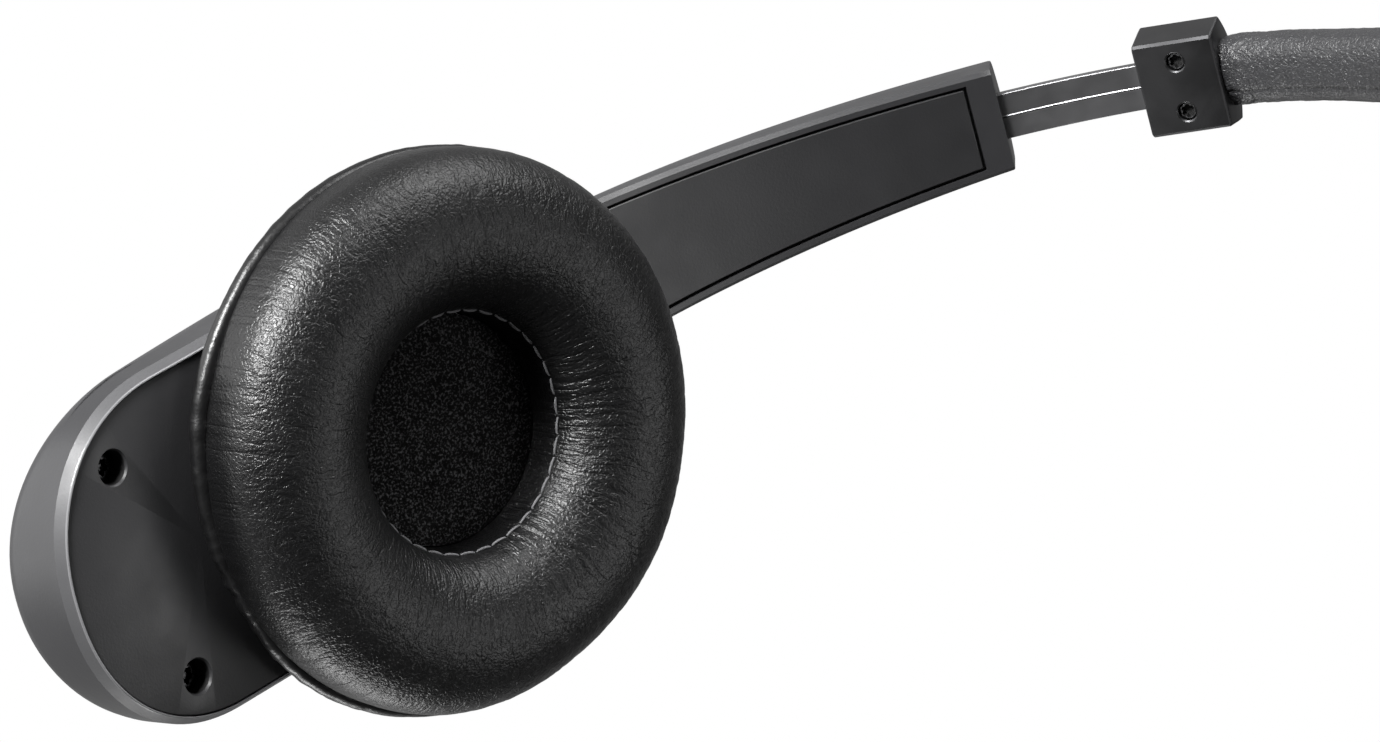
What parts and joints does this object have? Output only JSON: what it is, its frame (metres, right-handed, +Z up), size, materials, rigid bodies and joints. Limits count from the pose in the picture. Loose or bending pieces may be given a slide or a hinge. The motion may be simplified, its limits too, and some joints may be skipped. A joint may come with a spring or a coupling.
{
  "type": "office headset",
  "caption": "Padded-headband office headset with arc sliders, tilting leatherette ear cushions, capsule ear pods and a swinging microphone boom.",
  "frame": {"origin": "midway between the centres of the two ear cushions' seam planes", "axes": "+Z up through the crown of the headband, +X towards the wearer's left ear, -Y the way the wearer faces"},
  "size_m": [0.1704, 0.1314, 0.2227],
  "materials": {
    "shell": "moulded satin plastic, charcoal",
    "cover": "moulded fine-textured plastic, near black",
    "button": "soft-touch plastic",
    "internal_plastic": "moulded plastic",
    "leatherette": "black leatherette, semi-gloss, fine creases",
    "band_leatherette": "dark grey leatherette",
    "scrim": "black knitted mesh",
    "foam": "open-cell foam",
    "bar_steel": "dark brushed steel",
    "spring_steel": "bright spring steel",
    "clamp": "satin black paint",
    "screw": "blackened steel",
    "steel": "bright steel",
    "cone": "treated film",
    "cell": "wrapped cell",
    "cable": "flat ribbon",
    "board": "glass-fibre board with solder mask",
    "guide": "clear light guide"
  },
  "bodies": {
    "headband": {"steel_band": "spring_steel", "foam_padding": "foam", "leather_sleeve": "band_leatherette", "link_cable": "cable", "right_slider_bar": "bar_steel", "right_clamp_block": "clamp", "right_clamp_screws": "screw", "left_slider_bar": "bar_steel", "left_clamp_block": "clamp", "left_clamp_screws": "screw"},
    "right_ear": {"right_outer_shell": "shell", "right_inner_cover": "cover", "right_cover_screws": "screw", "right_arm_trim": "cover", "right_detent_spring": "spring_steel", "right_pivot_bracket": "internal_plastic", "right_bracket_screws": "steel", "right_pivot_pin": "steel", "right_end_cap": "cover", "right_battery": "cell"},
    "right_pad": {"right_speaker_capsule": "internal_plastic", "right_speaker_driver": "steel", "right_speaker_cone": "cone", "right_pad_ring": "internal_plastic", "right_cushion": "leatherette", "right_scrim": "scrim"},
    "left_ear": {"left_outer_shell": "shell", "left_inner_cover": "cover", "left_cover_screws": "screw", "left_arm_trim": "cover", "left_detent_spring": "spring_steel", "left_pivot_bracket": "internal_plastic", "left_bracket_screws": "steel", "left_pivot_pin": "steel", "circuit_board": "board", "usb_socket": "steel", "light_guide": "guide"},
    "left_pad": {"left_speaker_capsule": "internal_plastic", "left_speaker_driver": "steel", "left_speaker_cone": "cone", "left_pad_ring": "internal_plastic", "left_cushion": "leatherette", "left_scrim": "scrim"},
    "boom": {"boom_hub": "cover", "hub_clip": "spring_steel", "boom_arm": "internal_plastic", "mic_housing": "internal_plastic", "mic_capsule": "steel", "mic_grille": "scrim"},
    "call_key": {"call_button": "button"},
    "volume_up_key": {"volume_up": "button"},
    "volume_down_key": {"volume_down": "button"}
  },
  "joints": [
    {"name": "right_slider", "type": "hinge", "parent": "headband", "child": "right_ear", "pos_m": [-0.00914, 0, 0.04849], "axis": [0, -1, 0], "range_deg": [-11, 9.5]},
    {"name": "right_pad_tilt", "type": "hinge", "parent": "right_ear", "child": "right_pad", "pos_m": [-0.0685, 0, 0], "axis": [0, -1, 0], "range_deg": [-1.5, 13]},
    {"name": "left_slider", "type": "hinge", "parent": "headband", "child": "left_ear", "pos_m": [0.00914, 0, 0.04849], "axis": [0, 1, 0], "range_deg": [-11, 9.5]},
    {"name": "left_pad_tilt", "type": "hinge", "parent": "left_ear", "child": "left_pad", "pos_m": [0.0685, 0, 0], "axis": [0, 1, 0], "range_deg": [-1.5, 13]},
    {"name": "boom_swing", "type": "hinge", "parent": "left_ear", "child": "boom", "pos_m": [0.07841, 0, -0.03411], "axis": [-0.9925, 0, 0.1219], "range_deg": [-60, 100]},
    {"name": "call_press", "type": "slide", "parent": "left_ear", "child": "call_key", "axis": [-0.9925, 0, 0.1219], "range_m": [0, 0.0006]},
    {"name": "volume_up_press", "type": "slide", "parent": "left_ear", "child": "volume_up_key", "axis": [0, -1, 0], "range_m": [0, 0.0005]},
    {"name": "volume_down_press", "type": "slide", "parent": "left_ear", "child": "volume_down_key", "axis": [0, -1, 0], "range_m": [0, 0.0005]}
  ]
}
